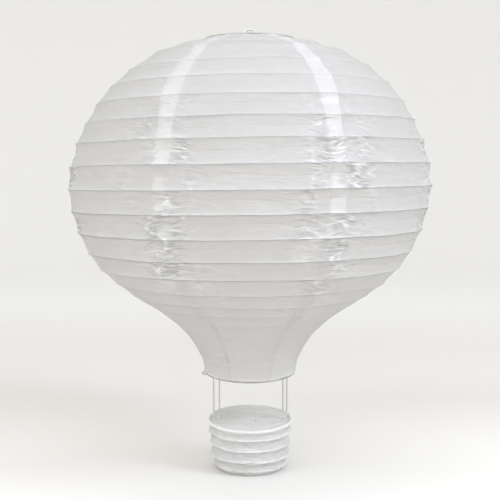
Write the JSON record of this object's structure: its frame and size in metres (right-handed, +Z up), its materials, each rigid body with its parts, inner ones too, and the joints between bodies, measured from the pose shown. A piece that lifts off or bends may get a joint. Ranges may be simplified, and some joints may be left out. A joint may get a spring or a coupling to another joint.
{
  "type": "paper lantern hot air balloon",
  "caption": "Decorative hot air balloon made as a ribbed white paper lantern with a small paper basket held under it by a bent stretcher wire; stands on the basket or hangs by its top loop.",
  "frame": {"origin": "on the floor under the middle of the basket's base", "axes": "+Z up through the basket, mouth and crown; -Y towards the viewer of the picture; +X to the viewer's right, in the plane of the stretcher wire"},
  "size_m": [0.2996, 0.2997, 0.3685],
  "materials": {
    "white_paper": "crinkled matte white lantern paper",
    "deck_paper": "smooth pale grey paper",
    "rib_wire": "thin dull steel wire",
    "bright_wire": "plain drawn steel wire"
  },
  "bodies": {
    "root": {"envelope_gore_front": "white_paper", "envelope_gore_front_right": "white_paper", "envelope_gore_right": "white_paper", "envelope_gore_back_right": "white_paper", "envelope_gore_back_left": "white_paper", "envelope_gore_left": "white_paper", "envelope_gore_front_left": "white_paper", "envelope_rib_01": "rib_wire", "envelope_rib_02": "rib_wire", "envelope_rib_03": "rib_wire", "envelope_rib_04": "rib_wire", "envelope_rib_05": "rib_wire", "envelope_rib_06": "rib_wire", "envelope_rib_07": "rib_wire", "envelope_rib_08": "rib_wire", "envelope_rib_09": "rib_wire", "envelope_rib_10": "rib_wire", "envelope_rib_11": "rib_wire", "envelope_rib_12": "rib_wire", "envelope_rib_13": "rib_wire", "envelope_rib_14": "rib_wire", "envelope_rib_15": "rib_wire", "envelope_rib_16": "rib_wire", "envelope_rib_17": "rib_wire", "envelope_rib_18": "rib_wire", "envelope_rib_19": "rib_wire", "envelope_rib_20": "rib_wire", "envelope_rib_21": "rib_wire", "envelope_rib_22": "rib_wire", "crown_ring": "bright_wire", "mouth_ring": "bright_wire", "stretcher_top_bar": "bright_wire", "stretcher_leg_left": "bright_wire", "stretcher_leg_right": "bright_wire", "basket_wall": "white_paper", "basket_deck": "deck_paper", "basket_base": "deck_paper", "basket_rim_ring": "bright_wire", "basket_base_ring": "bright_wire", "basket_rib_01": "rib_wire", "basket_rib_02": "rib_wire", "basket_rib_03": "rib_wire", "basket_rib_04": "rib_wire"}
  },
  "joints": []
}
